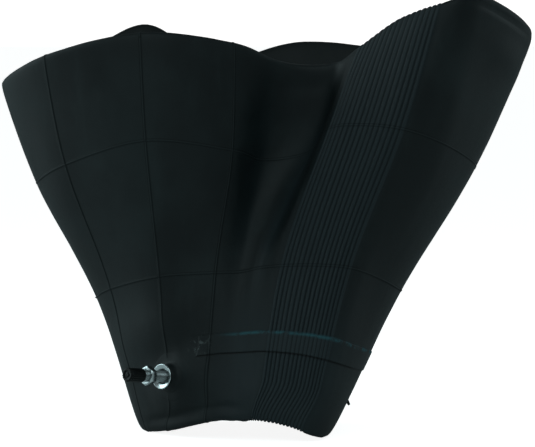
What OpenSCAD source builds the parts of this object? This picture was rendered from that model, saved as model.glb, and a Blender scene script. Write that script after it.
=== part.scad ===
// Inner tube for a small wide tyre, let down and standing on its rim side, with a metal valve.
// Millimetres. +Z is up, the origin is on the floor under the middle of the tube,
// and -Y is the front, where the valve is.

/* [Tube] */
// Thickness of the rubber wall
wall = 1.9; // [1.6:0.1:2.4]
// Distance between the two walls near the top and bottom edges
slack_at_edges = 13; // [11:1:16]
// Extra distance between the walls halfway up
slack_in_middle = 9; // [4:1:12]
// How square the rolled edges are, where 1 is an ellipse and less is squarer
edge_shape = 0.42; // [0.35:0.01:0.6]
// Facets around the ring
facets_around = 90; // [84:1:96]
// Facets around the section of the tube
facets_section = 30; // [28:2:32]

/* [Splice tape] */
// Thickness that the tape stands proud of the wall
tape_proud = 0.8; // [0.5:0.1:1.2]
// Depth that the tape is cured into the wall
tape_sunk = 0.7; // [0.4:0.1:0.9]

/* [Valve] */
// Compass direction of the valve, from +X towards +Y
valve_heading = 228; // [226:1:230]
// Lean of the valve above level
valve_rise = 7; // [5:1:9]
// Radius of the round reinforcing patch
patch_r = 17; // [15:1:19]
// Thickness of the patch
patch_h = 1.6; // [1:0.1:2]
// Radius of the rubber foot at the patch
base_r = 12; // [11:0.5:14]
// Height of the rubber foot's top above the wall
base_top = 5.4; // [5:0.1:6]

/* [Stem and nut] */
// Outside radius of the stem's thread
stem_r = 3.85; // [3.8:0.01:3.9]
// Rise of the outside thread in one turn
thread_pitch = 0.794; // [0.75:0.001:0.85]
// Height of the stem's open end above the wall
stem_top = 40; // [39.5:0.1:40.5]
// Radial running clearance between the stem and what turns on it
thread_gap = 0.08; // [0.04:0.01:0.1]
// Outside radius of the dished washer
washer_r = 8.75; // [8:0.05:9.5]
// Width across the nut's flats
nut_af = 12; // [11.5:0.1:12.5]
// Height of the nut
nut_h = 5; // [4.5:0.1:5.4]
// Height of the nut's inner face above the wall
nut_at = 19.6; // [19.4:0.1:20]

/* [Cap] */
// Outside radius of the cap
cap_r = 4.8; // [4.6:0.1:5.2]
// Height of the cap's open end above the wall
cap_at = 28.5; // [28.2:0.1:29]
// Height of the cap's closed end above the wall
cap_top = 43; // [42.6:0.1:44]
// Number of grip grooves
cap_grooves = 16; // [12:1:20]

/* [Hidden] */
round_facets = 48;
rubber = [0.07, 0.085, 0.09];
nickel = [0.72, 0.76, 0.76];
brass = [0.78, 0.62, 0.32];
cap_black = [0.06, 0.08, 0.08];

// ---------------------------------------------------------------- tube shape
// Four guide rings, from the rim edge on the floor to the tread edge on top.
// Each has seventeen points, and one number is the same moulded meridian in all
// four: left edge, first line, valve line, third line, valley, foot of the fold,
// crest of the fold, middle and end of the ribs, right lobe, right edge, then six behind.
FOOT = [
    [-93, 12, 0], [-88, -14, -1], [-66, -43, 5], [-42, -60, 14], [-26, -65, 16], [-17, -67, 16],
    [-8, -68, 16], [12, -69, 12], [30, -68, 5], [42, -54, 0], [47, -22, -1],
    [44, 16, -1], [24, 44, 1], [-4, 50, 3], [-34, 50, 3], [-62, 45, 1], [-85, 34, -1],
];
HIP = [
    [-121, 18, 91], [-110, -8, 100], [-75, -36, 111], [-36, -40, 114], [-17, -35, 114], [-4, -36, 116],
    [9, -44, 119], [34, -50, 120], [58, -51, 118], [79, -35, 109], [94, -4, 98],
    [86, 30, 96], [50, 56, 105], [8, 62, 109], [-30, 62, 110], [-72, 58, 105], [-106, 42, 94],
];
WAIST = [
    [-163, 22, 172], [-141, -12, 187], [-84, -42, 205], [-24, -32, 198], [-2, -5, 190], [33, -9, 196],
    [41, -38, 213], [66, -48, 216], [94, -54, 213], [123, -38, 202], [146, 2, 186],
    [135, 38, 180], [90, 62, 192], [30, 68, 202], [-36, 67, 202], [-92, 64, 198], [-143, 46, 178],
];
CREST = [
    [-191, 22, 241], [-157, -16, 262], [-88, -42, 279], [-22, -28, 272], [13, -12, 257], [42, -10, 257],
    [61, -22, 271], [89, -37, 290], [119, -46, 300], [150, -38, 304], [187, 2, 279],
    [174, 44, 256], [110, 71, 262], [26, 79, 270], [-38, 74, 257], [-91, 70, 283], [-154, 49, 248],
];
RINGS = [FOOT, HIP, WAIST, CREST];
columns = len(FOOT);

// A smooth curve through b and c, with a and d as its outer neighbours
function smooth(a, b, c, d, s) =
    0.5 * (2 * b + (c - a) * s + (2 * a - 5 * b + 4 * c - d) * s * s
           + (3 * b - a - 3 * c + d) * s * s * s);
function wrap(i) = (i % columns + columns) % columns;
function on_ring(ring, turn) =
    let (i = floor(turn), s = turn - i)
    smooth(ring[wrap(i - 1)], ring[wrap(i)], ring[wrap(i + 1)], ring[wrap(i + 2)], s);
// The outer face: turn counts meridians round the ring, up runs from 0 to 1
function face_at(turn, up) =
    let (
        r = [for (ring = RINGS) on_ring(ring, turn)],
        last = len(RINGS) - 1,
        i = max(0, min(last - 1, floor(up * last))),
        s = up * last - i,
        before = i == 0 ? 2 * r[0] - r[1] : r[i - 1],
        after = i == last - 1 ? 2 * r[last] - r[last - 1] : r[i + 2]
    )
    smooth(before, r[i], r[i + 1], after, s);
function unit(v) = v / norm(v);
step_turn = 0.02;
step_up = 0.01;
function outward_at(turn, up) =
    unit(cross(
        face_at(turn + step_turn, up) - face_at(turn - step_turn, up),
        face_at(turn, up + step_up) - face_at(turn, up - step_up)
    ));

// The valve's own frame: where it meets the wall, and its direction
valve_at = [-67, -42, 42];
valve_out = [
    cos(valve_rise) * cos(valve_heading), cos(valve_rise) * sin(valve_heading), sin(valve_rise)
];
flat_r = patch_r + 1;
blend_r = patch_r + 11;
blend_depth = 12;
function ease(x) = let (c = max(0, min(1, x))) c * c * (3 - 2 * c);
// Near the valve the outer wall is drawn flat against the reinforcing patch
function flattened(p, sunk) =
    let (
        d = p - valve_at,
        height = d * valve_out,
        away = norm(d - height * valve_out),
        share = ease((blend_r - away) / (blend_r - flat_r))
    )
    p - (height + sunk) * share * ease(2 - abs(height + sunk) / blend_depth) * valve_out;

// One point of the section: around goes once round, from the bottom edge up the
// outer wall to the top edge and down the inner wall; inset is 0 on the outside
edge_inset = 0.009;
function shell_at(turn, around, inset) =
    let (
        bulge = sign(sin(around)) * pow(abs(sin(around)), edge_shape),
        up = edge_inset * inset / wall + (1 - 2 * edge_inset * inset / wall) * (1 - cos(around)) / 2,
        slack = slack_at_edges + slack_in_middle * sin(180 * up),
        depth = inset + (slack / 2 - inset) * (1 - bulge),
        p = face_at(turn, up) - depth * outward_at(turn, up)
    )
    around < 180 ? flattened(p, inset) : p;

// The outer and the inner skin meet round the square airway hole under the valve,
// which takes the place of one facet in each
hole_half = 1.6;
hole_turn = 2.08;
hole_around = 38;
hole_column = floor(hole_turn * facets_around / columns);
hole_row = floor(hole_around * facets_section / 360);
up_along = unit([0, 0, 1] - valve_out[2] * valve_out);
turn_along = cross(up_along, valve_out);
function hole_corner(i, j, inset) =
    valve_at + hole_half * ((2 * i - 1) * turn_along + (2 * j - 1) * up_along) - inset * valve_out;
function in_hole(i, j) =
    (i == hole_column || i == hole_column + 1) && (j == hole_row || j == hole_row + 1);
function skin_points(inset) = [
    for (i = [0 : facets_around - 1]) for (j = [0 : facets_section - 1])
        in_hole(i, j)
            ? hole_corner(i - hole_column, j - hole_row, inset)
            : shell_at(columns * i / facets_around, 360 * j / facets_section, inset)
];
function skin_index(i, j, first) = first + (i % facets_around) * facets_section + j % facets_section;
function skin_faces(first, inward) = [
    for (i = [0 : facets_around - 1]) for (j = [0 : facets_section - 1])
        if (i != hole_column || j != hole_row)
            let (
                a = skin_index(i, j, first), b = skin_index(i + 1, j, first),
                c = skin_index(i + 1, j + 1, first), d = skin_index(i, j + 1, first)
            )
            each inward ? [[a, b, c], [a, c, d]] : [[a, c, b], [a, d, c]]
];
skin_size = facets_around * facets_section;
HOLE_EDGE = [[0, 0], [1, 0], [1, 1], [0, 1]];
hole_faces = [
    for (k = [0 : 3])
        let (
            from = HOLE_EDGE[k], to = HOLE_EDGE[(k + 1) % 4],
            a = skin_index(hole_column + from[0], hole_row + from[1], 0),
            b = skin_index(hole_column + to[0], hole_row + to[1], 0),
            c = b + skin_size, d = a + skin_size
        )
        each [[a, c, b], [a, d, c]]
];

module tube_body() {
    color(rubber)
    polyhedron(
        points = concat(skin_points(0), skin_points(wall)),
        faces = concat(skin_faces(0, false), skin_faces(skin_size, true), hole_faces)
    );
}

// ---------------------------------------------------------------- splice tape
tape_from = 2.72;
tape_to = 11.4;
tape_low = 0.146;
tape_high = 0.19;
tape_steps = 60;
function tape_at(turn, up, lift) =
    shell_at(turn, acos(1 - 2 * up), 0) + lift * outward_at(turn, up);
module splice_tape() {
    rows = [
        [tape_low, -tape_sunk], [tape_high, -tape_sunk],
        [tape_high, tape_proud], [tape_low, tape_proud],
    ];
    n = len(rows);
    points = [
        for (i = [0 : tape_steps]) for (row = rows)
            tape_at(tape_from + (tape_to - tape_from) * i / tape_steps, row[0], row[1])
    ];
    sides = [
        for (i = [0 : tape_steps - 1]) for (j = [0 : n - 1])
            let (a = i * n + j, b = i * n + (j + 1) % n, c = a + n, d = b + n)
            each [[a, b, d], [a, d, c]]
    ];
    last = tape_steps * n;
    ends = [[0, 2, 1], [0, 3, 2], [last, last + 1, last + 2], [last, last + 2, last + 3]];
    color(rubber)
    polyhedron(points = points, faces = concat(sides, ends));
}

// ---------------------------------------------------------------- valve, in its own frame
// Z runs out along the stem and is 0 on the outer face of the tube's wall
module at_valve() {
    translate(valve_at)
    rotate([0, 90 - valve_rise, valve_heading])
    children();
}
module turned(outline) {
    rotate_extrude($fn = round_facets)
    polygon(outline);
}
module ring(inner, outer, low, high) {
    turned([[inner, low], [outer, low], [outer, high], [inner, high]]);
}

patch_sunk = 0.6;
patch_rim_h = 0.5;
patch_slope_w = 5;
flange_r = 9;
flange_low = 2.2;
flange_high = 3.2;
base_foot_r = 8.4;
base_rim_h = 0.4;
base_round = 0.5;
flange_cover = 0.1;
module valve_patch() {
    color(rubber)
    at_valve()
    turned([
        [stem_r, -patch_sunk], [patch_r, -patch_sunk], [patch_r, patch_rim_h],
        [patch_r - patch_slope_w, patch_h], [stem_r, patch_h],
    ]);
}
module valve_base() {
    color(rubber)
    at_valve()
    turned([
        [stem_r, patch_h], [base_r, patch_h], [base_r, patch_h + base_rim_h],
        [flange_r + 1, flange_high + flange_cover], [base_foot_r, base_top - base_round],
        [base_foot_r - base_round, base_top],
        [stem_r, base_top], [stem_r, flange_high], [flange_r, flange_high],
        [flange_r, flange_low], [stem_r, flange_low],
    ]);
}

thread_from = base_top + 0.8;
thread_depth = 0.42;
thread_crest = 0.1;
stem_round = 0.5;
thread_turns = floor((stem_top - stem_round - 0.3 - thread_from) / thread_pitch);
stem_foot = 0.02;
core_thread_r = 2.65;
seat_r = 2.05;
airway_r = 1.8;
core_thread_low = stem_top - 7.5;
taper_low = stem_top - 10.1;
module valve_stem() {
    grooves = [
        for (k = [0 : thread_turns - 1])
            let (z = thread_from + k * thread_pitch)
            each [
                [stem_r, z + thread_crest], [stem_r - thread_depth, z + thread_pitch / 2],
                [stem_r, z + thread_pitch - thread_crest],
            ]
    ];
    color(nickel)
    at_valve()
    turned(concat(
        [
            [airway_r, stem_foot], [stem_r, stem_foot], [stem_r, flange_low],
            [flange_r, flange_low], [flange_r, flange_high], [stem_r, flange_high],
        ],
        grooves,
        [
            [stem_r, stem_top - stem_round], [stem_r - stem_round, stem_top], [core_thread_r, stem_top],
            [core_thread_r, core_thread_low], [seat_r, taper_low], [airway_r, taper_low - 1],
        ]
    ));
}

washer_t = 0.9;
washer_flat_r = 5.4;
washer_rise = 3;
washer_lip = 0.8;
module bridge_washer() {
    low = base_top + 0.02;
    lip_low = low + washer_rise;
    color(nickel)
    at_valve()
    turned([
        [stem_r + thread_gap, low], [washer_flat_r + washer_t / 2, low],
        [washer_r, lip_low], [washer_r, lip_low + washer_lip],
        [washer_r - washer_t / 2, lip_low + washer_t], [washer_flat_r, low + washer_t],
        [stem_r + thread_gap, low + washer_t],
    ]);
}

nut_corner_r = nut_af / 2 / cos(30);
nut_chamfer_r = nut_af / 2 - 0.15;
nut_chamfer_h = 0.65;
past = 1;
module rim_nut() {
    color(nickel)
    at_valve()
    translate([0, 0, nut_at])
    difference() {
        intersection() {
            cylinder(r = nut_corner_r, h = nut_h, $fn = 6);
            turned([
                [0, 0], [nut_chamfer_r, 0], [nut_corner_r + 0.05, nut_chamfer_h],
                [nut_corner_r + 0.05, nut_h - nut_chamfer_h], [nut_chamfer_r, nut_h], [0, nut_h],
            ]);
        }
        translate([0, 0, -past])
        cylinder(r = stem_r + thread_gap, h = nut_h + 2 * past, $fn = round_facets);
    }
}

seal_h = 0.9;
seal_gap = 0.1;
seal_r = 3.7;
cap_roof = stem_top + seal_gap + seal_h;
cap_collar = 2.2;
cap_line = 0.25;
cap_edge = 0.3;
cap_round = 0.6;
cap_end_h = 0.2;
cap_dish_h = 0.7;
cap_dish_r = 2.6;
cap_button_r = 1.3;
groove_r = 0.45;
groove_facets = 16;
module dust_cap() {
    color(cap_black)
    at_valve()
    difference() {
        turned([
            [stem_r + thread_gap, cap_at], [cap_r - cap_line, cap_at], [cap_r, cap_at + cap_edge],
            [cap_r, cap_top - cap_collar], [cap_r - cap_line, cap_top - cap_collar + cap_line],
            [cap_r, cap_top - cap_collar + 2 * cap_line], [cap_r, cap_top - cap_round],
            [cap_r - cap_round, cap_top], [cap_dish_r, cap_top],
            [cap_dish_r - cap_end_h, cap_top - cap_dish_h], [cap_button_r, cap_top - cap_dish_h],
            [cap_button_r - cap_end_h, cap_top - cap_end_h], [0, cap_top - cap_end_h],
            [0, cap_roof], [stem_r + thread_gap, cap_roof],
        ]);
        for (k = [0 : cap_grooves - 1])
            rotate(360 * k / cap_grooves)
            translate([cap_r + groove_r / 3, 0, cap_at + 4 * cap_edge])
            cylinder(r = groove_r, h = cap_top - cap_at, $fn = groove_facets);
    }
}
module cap_seal() {
    color([0.75, 0.76, 0.72])
    at_valve()
    cylinder_between(seal_r, cap_roof - seal_h, cap_roof);
}
module cylinder_between(r, low, high) {
    translate([0, 0, low])
    cylinder(r = r, h = high - low, $fn = round_facets);
}

// ---------------------------------------------------------------- valve core
pin_r = 0.6;
pin_gap = 0.08;
collar_room_r = 1.3;
swivel_low = stem_top - 7.3;
swivel_top = stem_top - 2.3;
room_top = stem_top - 5.5;
barrel_low = stem_top - 14.5;
barrel_floor = stem_top - 13.3;
barrel_r = 1.6;
barrel_bore_r = 1.3;
module core_swivel() {
    color(brass)
    at_valve()
    difference() {
        turned([
            [collar_room_r, swivel_low], [core_thread_r - 0.3, swivel_low],
            [core_thread_r, swivel_low + 0.4], [core_thread_r, swivel_top - 0.3],
            [core_thread_r - 0.3, swivel_top], [pin_r + pin_gap, swivel_top],
            [pin_r + pin_gap, room_top], [collar_room_r, room_top],
        ]);
        for (side = [-1, 1])
            translate([side * (core_thread_r + 0.1), 0, swivel_top])
            cube([2.2, 8, 4.4], center = true);
    }
}
module core_barrel() {
    color(brass)
    at_valve()
    turned([
        [pin_r + pin_gap, barrel_low], [barrel_r - 0.25, barrel_low], [barrel_r, barrel_low + 0.4],
        [barrel_r, taper_low + 0.3], [barrel_r, swivel_low], [barrel_bore_r, swivel_low],
        [barrel_bore_r, barrel_floor], [pin_r + pin_gap, barrel_floor],
    ]);
}
module barrel_gasket() {
    low = taper_low + 0.3;
    high = taper_low + 1.8;
    slope = (core_thread_r - seat_r) / (core_thread_low - taper_low);
    color("firebrick")
    at_valve()
    turned([
        [barrel_r, low], [seat_r + slope * (low - taper_low), low],
        [seat_r + slope * (high - taper_low), high], [barrel_r, high],
    ]);
}
pin_low = stem_top - 17.1;
pin_top = stem_top - 0.3;
module core_pin() {
    color(brass)
    at_valve()
    cylinder_between(pin_r, pin_low, pin_top);
}
head_r = 1.1;
head_h = 0.7;
module pin_head() {
    color(brass)
    at_valve()
    ring(pin_r, head_r, pin_top - head_h, pin_top);
}
cup_r = 1.45;
cup_low = stem_top - 16.5;
cup_floor = stem_top - 16.1;
cup_wall = 0.2;
cup_h = 0.9;
module seat_cup() {
    color(brass)
    at_valve()
    turned([
        [pin_r, cup_low], [cup_r, cup_low], [cup_r, cup_floor + cup_h],
        [cup_r - cup_wall, cup_floor + cup_h], [cup_r - cup_wall, cup_floor], [pin_r, cup_floor],
    ]);
}
module seat_seal() {
    color("black")
    at_valve()
    ring(pin_r, cup_r - cup_wall, cup_floor, barrel_low);
}
spring_wire_r = 0.14;
spring_mid_r = 0.98;
spring_turns = 7;
spring_steps = 14;
spring_sides = 6;
spring_top = stem_top - 7.1;
module core_spring() {
    low = barrel_floor + spring_wire_r;
    high = spring_top - spring_wire_r;
    count = spring_turns * spring_steps;
    points = [
        for (i = [0 : count]) for (j = [0 : spring_sides - 1])
            let (
                r = spring_mid_r + spring_wire_r * cos(360 * j / spring_sides),
                turn = 360 * i / spring_steps
            )
            [
                r * cos(turn), r * sin(turn),
                low + (high - low) * i / count + spring_wire_r * sin(360 * j / spring_sides)
            ]
    ];
    sides = [
        for (i = [0 : count - 1]) for (j = [0 : spring_sides - 1])
            let (
                a = i * spring_sides + j, b = i * spring_sides + (j + 1) % spring_sides,
                c = a + spring_sides, d = b + spring_sides
            )
            each [[a, b, d], [a, d, c]]
    ];
    ends = [
        [for (j = [spring_sides - 1 : -1 : 0]) j],
        [for (j = [0 : spring_sides - 1]) count * spring_sides + j],
    ];
    color("silver")
    at_valve()
    polyhedron(points = points, faces = concat(sides, ends));
}
module spring_seat() {
    color(brass)
    at_valve()
    ring(pin_r, collar_room_r - 0.1, spring_top, spring_top + 0.5);
}

tube_body();
splice_tape();
valve_patch();
valve_base();
valve_stem();
bridge_washer();
rim_nut();
dust_cap();
cap_seal();
core_swivel();
core_barrel();
barrel_gasket();
core_pin();
pin_head();
seat_cup();
seat_seal();
core_spring();
spring_seat();
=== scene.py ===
import math

import bmesh
import bpy
import numpy as np
from mathutils import Matrix, Vector


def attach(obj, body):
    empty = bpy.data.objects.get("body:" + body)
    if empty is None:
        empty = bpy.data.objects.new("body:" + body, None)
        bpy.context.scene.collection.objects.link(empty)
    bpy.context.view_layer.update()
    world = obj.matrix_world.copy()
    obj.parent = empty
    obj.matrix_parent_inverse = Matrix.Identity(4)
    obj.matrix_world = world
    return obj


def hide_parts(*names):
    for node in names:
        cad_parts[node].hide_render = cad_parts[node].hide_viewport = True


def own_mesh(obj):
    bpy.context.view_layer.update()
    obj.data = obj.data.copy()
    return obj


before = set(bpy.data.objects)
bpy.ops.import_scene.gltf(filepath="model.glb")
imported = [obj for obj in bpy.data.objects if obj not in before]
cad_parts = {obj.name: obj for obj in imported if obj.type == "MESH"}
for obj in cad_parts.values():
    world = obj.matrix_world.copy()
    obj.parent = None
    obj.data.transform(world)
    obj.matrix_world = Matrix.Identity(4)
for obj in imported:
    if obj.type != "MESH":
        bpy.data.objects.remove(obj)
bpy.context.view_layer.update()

MM = 0.001

# ------------------------------------------------------------------ camera
VIEW_WIDTH = 374.5 * MM
VIEW_DISTANCE = 2.2
VIEW_RISE = math.radians(4)
VIEW_MIDDLE = Vector((0, 0, 145 * MM))


def add_camera():
    data = bpy.data.cameras.new("camera")
    data.sensor_width = 36
    data.lens = data.sensor_width * VIEW_DISTANCE / VIEW_WIDTH
    data.clip_end = 50
    camera = bpy.data.objects.new("camera", data)
    bpy.context.scene.collection.objects.link(camera)
    back = Vector((0, -math.cos(VIEW_RISE), math.sin(VIEW_RISE)))
    camera.location = VIEW_MIDDLE + back * VIEW_DISTANCE
    camera.rotation_euler = (math.pi / 2 - VIEW_RISE, 0, 0)
    bpy.context.scene.camera = camera


add_camera()


# ------------------------------------------------------------------ node trees as sums
class Value:
    """One output of a node tree. A sum written with it adds the Math nodes."""

    def __init__(self, graph, output):
        self.graph = graph
        self.output = output

    def maths(self, operation, *values):
        return self.graph.node("ShaderNodeMath", {"operation": operation}, dict(enumerate(values)))

    def __add__(self, other):
        return self.maths("ADD", self, other)

    def __radd__(self, other):
        return self.maths("ADD", other, self)

    def __sub__(self, other):
        return self.maths("SUBTRACT", self, other)

    def __rsub__(self, other):
        return self.maths("SUBTRACT", other, self)

    def __mul__(self, other):
        return self.maths("MULTIPLY", self, other)

    def __rmul__(self, other):
        return self.maths("MULTIPLY", other, self)

    def __truediv__(self, other):
        return self.maths("DIVIDE", self, other)

    def __rtruediv__(self, other):
        return self.maths("DIVIDE", other, self)

    def __abs__(self):
        return self.maths("ABSOLUTE", self)

    def fraction(self):
        return self.maths("FRACT", self)

    def largest(self, other):
        """The larger of two values."""
        return self.maths("MAXIMUM", self, other)

    def rises(self, low, high):
        """0 at low and 1 at high, with an eased step between; low may be the larger of the two."""
        first, last, start, stop = (low, high, 0.0, 1.0) if low < high else (high, low, 1.0, 0.0)
        return self.graph.node(
            "ShaderNodeMapRange", {"interpolation_type": "SMOOTHSTEP"},
            {"Value": self, "From Min": first, "From Max": last, "To Min": start, "To Max": stop},
        )

    def near(self, place, reach):
        """1 at a place, easing to 0 at reach on either side."""
        return abs(self - place).rises(reach, 0.0)


class Graph:
    """A shader or geometry tree that is written from the inputs to the output."""

    def __init__(self, tree):
        self.tree = tree
        tree.nodes.clear()

    def node(self, kind, settings=None, values=None, out=0):
        """Adds a node: its settings go on first, then the values or links of its sockets."""
        node = self.tree.nodes.new(kind)
        for name, setting in (settings or {}).items():
            setattr(node, name, setting)
        for name, value in (values or {}).items():
            if isinstance(value, Value):
                self.tree.links.new(value.output, node.inputs[name])
            else:
                node.inputs[name].default_value = value
        return Value(self, node.outputs[out]) if len(node.outputs) else node

    def noise(self, size, detail, roughness, stretch=None):
        """Noise whose features are about size metres across."""
        place = self.node("ShaderNodeTexCoord", out="Object")
        if stretch:
            place = self.node("ShaderNodeMapping", {}, {"Vector": place, "Scale": stretch})
        return self.node(
            "ShaderNodeTexNoise", {},
            {"Vector": place, "Scale": 1 / size, "Detail": detail, "Roughness": roughness},
        )

    def blend(self, share, first, second):
        """A colour between two, by share."""
        return self.node("ShaderNodeMix", {"data_type": "RGBA"}, {0: share, 6: first, 7: second}, out=2)

    def attribute(self, name):
        """A named attribute, in a material."""
        return self.node("ShaderNodeAttribute", {"attribute_name": name}, out="Fac")

    def stored(self, name, kind="FLOAT"):
        """A named attribute, in a geometry tree."""
        return self.node("GeometryNodeInputNamedAttribute", {"data_type": kind}, {"Name": name})

    def bump(self, height, distance, strength, under=None):
        """A normal that leans as if the surface had a height, on top of another normal if given."""
        values = {"Height": height, "Distance": distance, "Strength": strength}
        if under:
            values["Normal"] = under
        return self.node("ShaderNodeBump", {}, values)


def material(name, constants, make):
    """A Principled surface: constants are set on its sockets, and make(graph) gives what varies."""
    made = bpy.data.materials.new(name)
    made.use_nodes = True
    graph = Graph(made.node_tree)
    shader = graph.node("ShaderNodeBsdfPrincipled", {}, {**constants, **make(graph)})
    graph.node("ShaderNodeOutputMaterial", {}, {"Surface": shader})
    return made


# ------------------------------------------------------------------ the slack ring's shape
# Guide rings in millimetres, from the rim edge on the floor to the tread edge on top.
# One number is the same moulded meridian in all four: left edge, first line, valve line,
# third line, valley, foot of the fold, crest of the fold, middle and end of the ribs,
# right lobe, right edge, then six behind.
FOOT = [
    [-93, 12, 0], [-88, -14, -1], [-66, -43, 5], [-42, -60, 14], [-26, -65, 16], [-17, -67, 16],
    [-8, -68, 16], [12, -69, 12], [30, -68, 5], [42, -54, 0], [47, -22, -1],
    [44, 16, -1], [24, 44, 1], [-4, 50, 3], [-34, 50, 3], [-62, 45, 1], [-85, 34, -1],
]
HIP = [
    [-121, 18, 91], [-110, -8, 100], [-75, -36, 111], [-36, -40, 114], [-17, -35, 114], [-4, -36, 116],
    [9, -44, 119], [34, -50, 120], [58, -51, 118], [79, -35, 109], [94, -4, 98],
    [86, 30, 96], [50, 56, 105], [8, 62, 109], [-30, 62, 110], [-72, 58, 105], [-106, 42, 94],
]
WAIST = [
    [-163, 22, 172], [-141, -12, 187], [-84, -42, 205], [-24, -32, 198], [-2, -5, 190], [33, -9, 196],
    [41, -38, 213], [66, -48, 216], [94, -54, 213], [123, -38, 202], [146, 2, 186],
    [135, 38, 180], [90, 62, 192], [30, 68, 202], [-36, 67, 202], [-92, 64, 198], [-143, 46, 178],
]
CREST = [
    [-191, 22, 241], [-157, -16, 262], [-88, -42, 279], [-22, -28, 272], [13, -12, 257], [42, -10, 257],
    [61, -22, 271], [89, -37, 290], [119, -46, 300], [150, -38, 304], [187, 2, 279],
    [174, 44, 256], [110, 71, 262], [26, 79, 270], [-38, 74, 257], [-91, 70, 283], [-154, 49, 248],
]
RINGS = np.array([FOOT, HIP, WAIST, CREST], float) * MM
COLUMNS = RINGS.shape[1]
SLACK_AT_EDGES = 13 * MM
SLACK_IN_MIDDLE = 9 * MM
EDGE_SHAPE = 0.42
VALVE_AT = np.array([-67, -42, 42]) * MM
VALVE_HEADING = math.radians(228)
VALVE_RISE = math.radians(7)
VALVE_OUT = np.array([
    math.cos(VALVE_RISE) * math.cos(VALVE_HEADING),
    math.cos(VALVE_RISE) * math.sin(VALVE_HEADING),
    math.sin(VALVE_RISE),
])
VALVE_SIDE = np.cross(VALVE_OUT, (0.0, 0.0, 1.0))
VALVE_SIDE /= np.linalg.norm(VALVE_SIDE)
VALVE_OVER = np.cross(VALVE_SIDE, VALVE_OUT)
FLAT_R = 8 * MM
BLEND_R = 32 * MM
BLEND_DEPTH = 12 * MM
# The steps to either side over which slopes of the outer face are taken
TURN_STEP = 0.02
UP_STEP = 0.01


def ease(x):
    """0 below 0 and 1 above 1, with an eased step between."""
    x = np.clip(x, 0, 1)
    return x * x * (3 - 2 * x)


def smooth(a, b, c, d, s):
    """A point on the smooth curve from b to c, with a and d as its outer neighbours."""
    return 0.5 * (
        2 * b + (c - a) * s + (2 * a - 5 * b + 4 * c - d) * s**2 + (3 * b - a - 3 * c + d) * s**3
    )


def face_at(turn, up):
    """The outer face: turn counts meridians round the ring, up runs from 0 to 1."""
    turn, up = np.broadcast_arrays(np.asarray(turn, float), np.asarray(up, float))
    i = np.floor(turn).astype(int)
    s = (turn - i)[..., None]
    rings = smooth(*[RINGS[:, (i + k) % COLUMNS] for k in (-1, 0, 1, 2)], s)
    low, high = 2 * rings[0] - rings[1], 2 * rings[-1] - rings[-2]
    stack = np.concatenate([low[None], rings, high[None]])
    gaps = len(RINGS) - 1
    j = np.clip(np.floor(up * gaps).astype(int), 0, gaps - 1)
    pick = [np.take_along_axis(stack, (j + k)[None, ..., None], 0)[0] for k in range(4)]
    return smooth(*pick, (up * gaps - j)[..., None])


def unit(v):
    return v / np.linalg.norm(v, axis=-1, keepdims=True)


def outward_at(turn, up):
    along = face_at(turn + TURN_STEP, up) - face_at(turn - TURN_STEP, up)
    upward = face_at(turn, up + UP_STEP) - face_at(turn, up - UP_STEP)
    return unit(np.cross(along, upward))


def up_of(around):
    """How far up the face an angle round the section is."""
    return (1 - np.cos(around)) / 2


def skin_at(turn, around):
    """A point of the tube's skin: around goes up the outer wall and down the inner wall."""
    turn, around = np.broadcast_arrays(np.asarray(turn, float), np.asarray(around, float))
    wave = np.sin(around)
    bulge = np.sign(wave) * np.abs(wave) ** EDGE_SHAPE
    up = up_of(around)
    slack = SLACK_AT_EDGES + SLACK_IN_MIDDLE * np.sin(math.pi * up)
    p = face_at(turn, up) - (slack / 2 * (1 - bulge))[..., None] * outward_at(turn, up)
    off = p - VALVE_AT
    height = off @ VALVE_OUT
    away = np.linalg.norm(off - height[..., None] * VALVE_OUT, axis=-1)
    share = ease((BLEND_R - away) / (BLEND_R - FLAT_R)) * ease(2 - np.abs(height) / BLEND_DEPTH)
    share = np.where(around < math.pi, share, 0)
    return p - (height * share)[..., None] * VALVE_OUT


def store(mesh, name, values):
    """Keeps a number or a direction for each point of a mesh."""
    kind, field = ("FLOAT_VECTOR", "vector") if values.ndim == 3 else ("FLOAT", "value")
    layer = mesh.attributes.new(name, kind, "POINT")
    layer.data.foreach_set(field, values.ravel().astype(np.float32))


def grid_mesh(name, points, closed_across, attributes):
    """A mesh on a grid of points that is closed along its first direction, and across if asked."""
    n, m = points.shape[:2]
    i, j = np.meshgrid(np.arange(n), np.arange(m if closed_across else m - 1), indexing="ij")
    right, above = (i + 1) % n, (j + 1) % m
    quads = np.stack([i * m + j, right * m + j, right * m + above, i * m + above], -1)
    mesh = bpy.data.meshes.new(name)
    mesh.from_pydata(points.reshape(-1, 3).tolist(), [], quads.reshape(-1, 4).tolist())
    mesh.shade_smooth()
    for key, values in attributes.items():
        store(mesh, key, values)
    return mesh


def add_object(name, mesh):
    made = bpy.data.objects.new(name, mesh)
    bpy.context.scene.collection.objects.link(made)
    return made


# ------------------------------------------------------------------ where the moulding marks are
MOULD_LINES = np.array([1, 2, 3, 10.55, 11.5, 12.45, 13.5, 14.6, 15.7, 16.5])
ARCHES = np.array([1 / 3, 2 / 3])
BEAD_TOP = 0.45 * MM
BEAD_FOOT = 0.8 * MM
COLUMN_STEP = 3.2 * MM
ROW_STEP = 3.0 * MM
INNER_ROW_STEP = 5.5 * MM
EDGE_ROW_STEP = 1.4 * MM
EDGE_HEIGHT = 0.045
# A meridian at the back, where the section is plain
PLAIN_TURN = 13.0
# How close, in turns and in angle, an even column or row may come to a mark
CLEAR_OF_LINE = 0.09
CLEAR_OF_ARCH = 0.016
# The least slope used near the rolled edges, where the true one goes to nothing
LEAST_SLOPE = 0.2
# How soon the outward direction turns over at the rolled edges
ROLL_POWER = 0.8
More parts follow.
